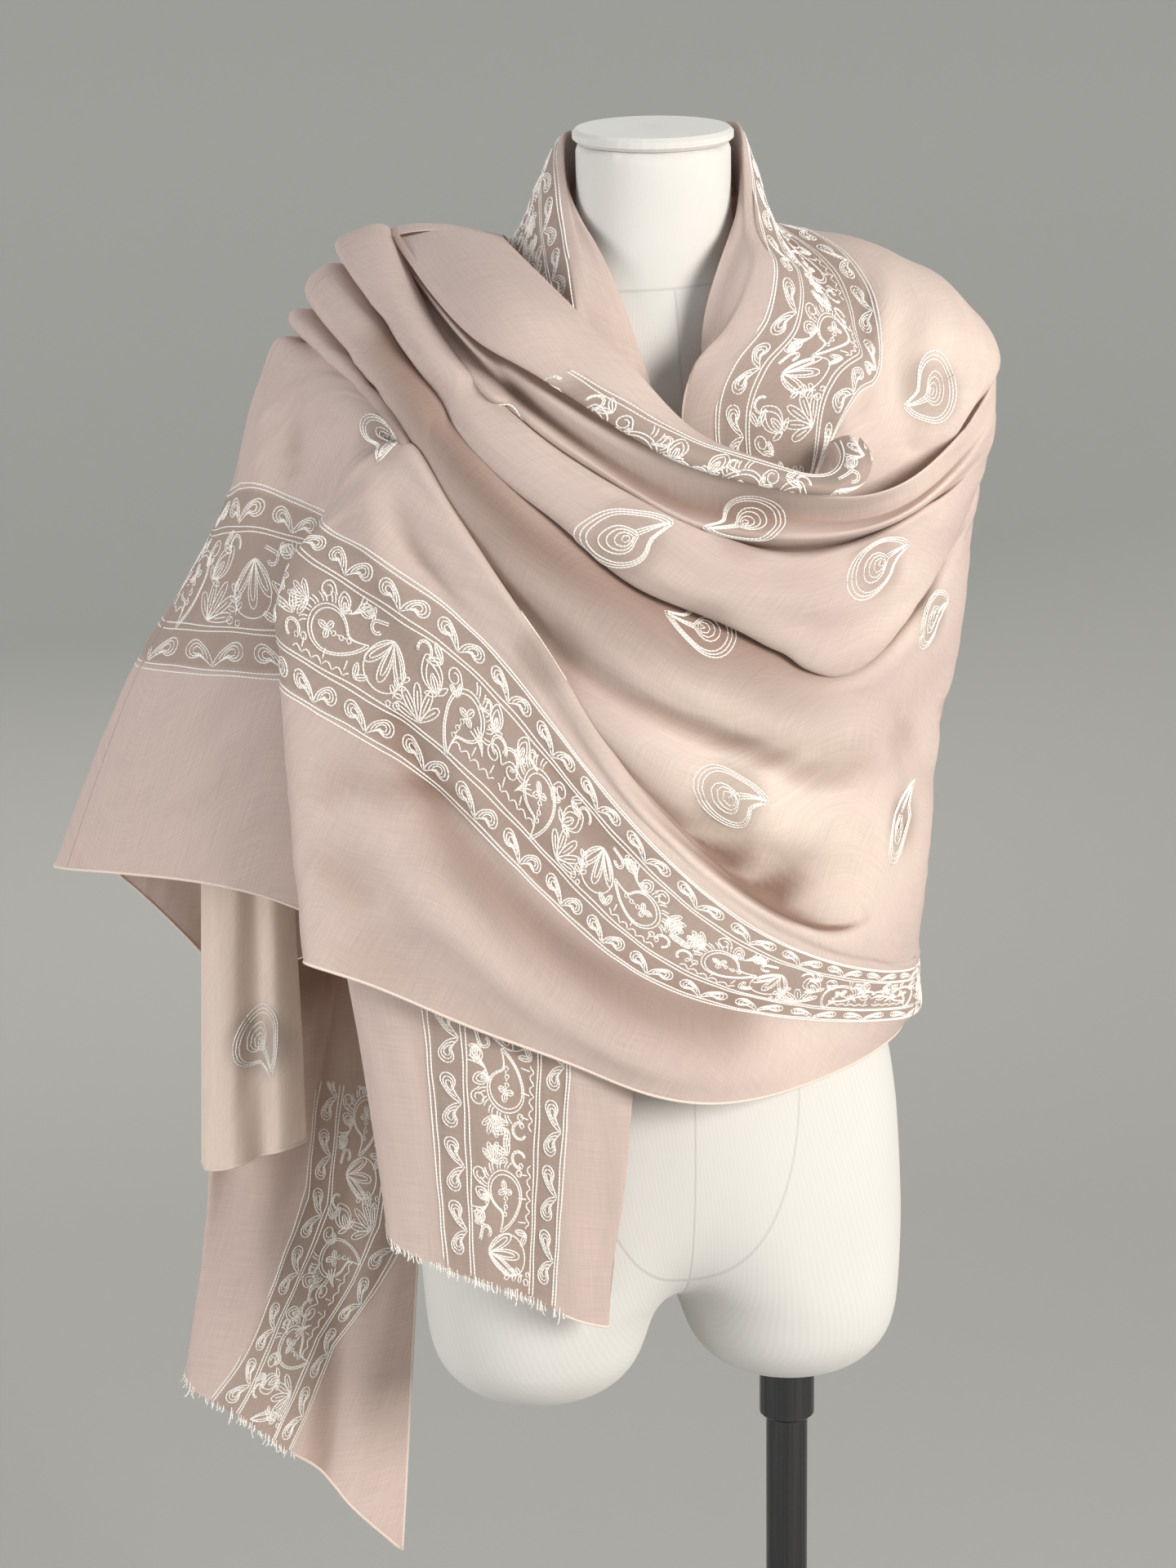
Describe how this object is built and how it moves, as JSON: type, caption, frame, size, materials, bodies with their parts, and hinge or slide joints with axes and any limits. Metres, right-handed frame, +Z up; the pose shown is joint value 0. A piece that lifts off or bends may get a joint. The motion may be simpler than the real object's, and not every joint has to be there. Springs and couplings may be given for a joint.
{
  "type": "embroidered shawl wound round a limbless dress form on a post stand",
  "caption": "Long thin embroidered shawl wound round a canvas dress form on a post, thrown over the left shoulder, with its ends hanging.",
  "frame": {"origin": "middle of the base plate's underside, on the floor", "axes": "+Z up the post, -Y towards the front of the form, +X to the viewer's right"},
  "size_m": [0.666, 0.38, 1.5682],
  "materials": {
    "voile": "fine matt silk voile with cream thread embroidery",
    "canvas": "off-white twill canvas stretched over a shell",
    "cap": "white cap covered in canvas",
    "base_plate": "dark satin plate",
    "steel": "dark polished tube"
  },
  "bodies": {
    "root": {"neck_stretch": "voile", "edge_roll": "voile", "front_stretch": "voile", "back_stretch": "voile", "thrown_stretch": "voile", "side_tail": "voile", "corner_tail": "voile", "front_tail": "voile", "form_body": "canvas", "neck_cap": "cap", "base": "base_plate", "post": "steel", "post_sleeve": "steel"}
  },
  "joints": []
}
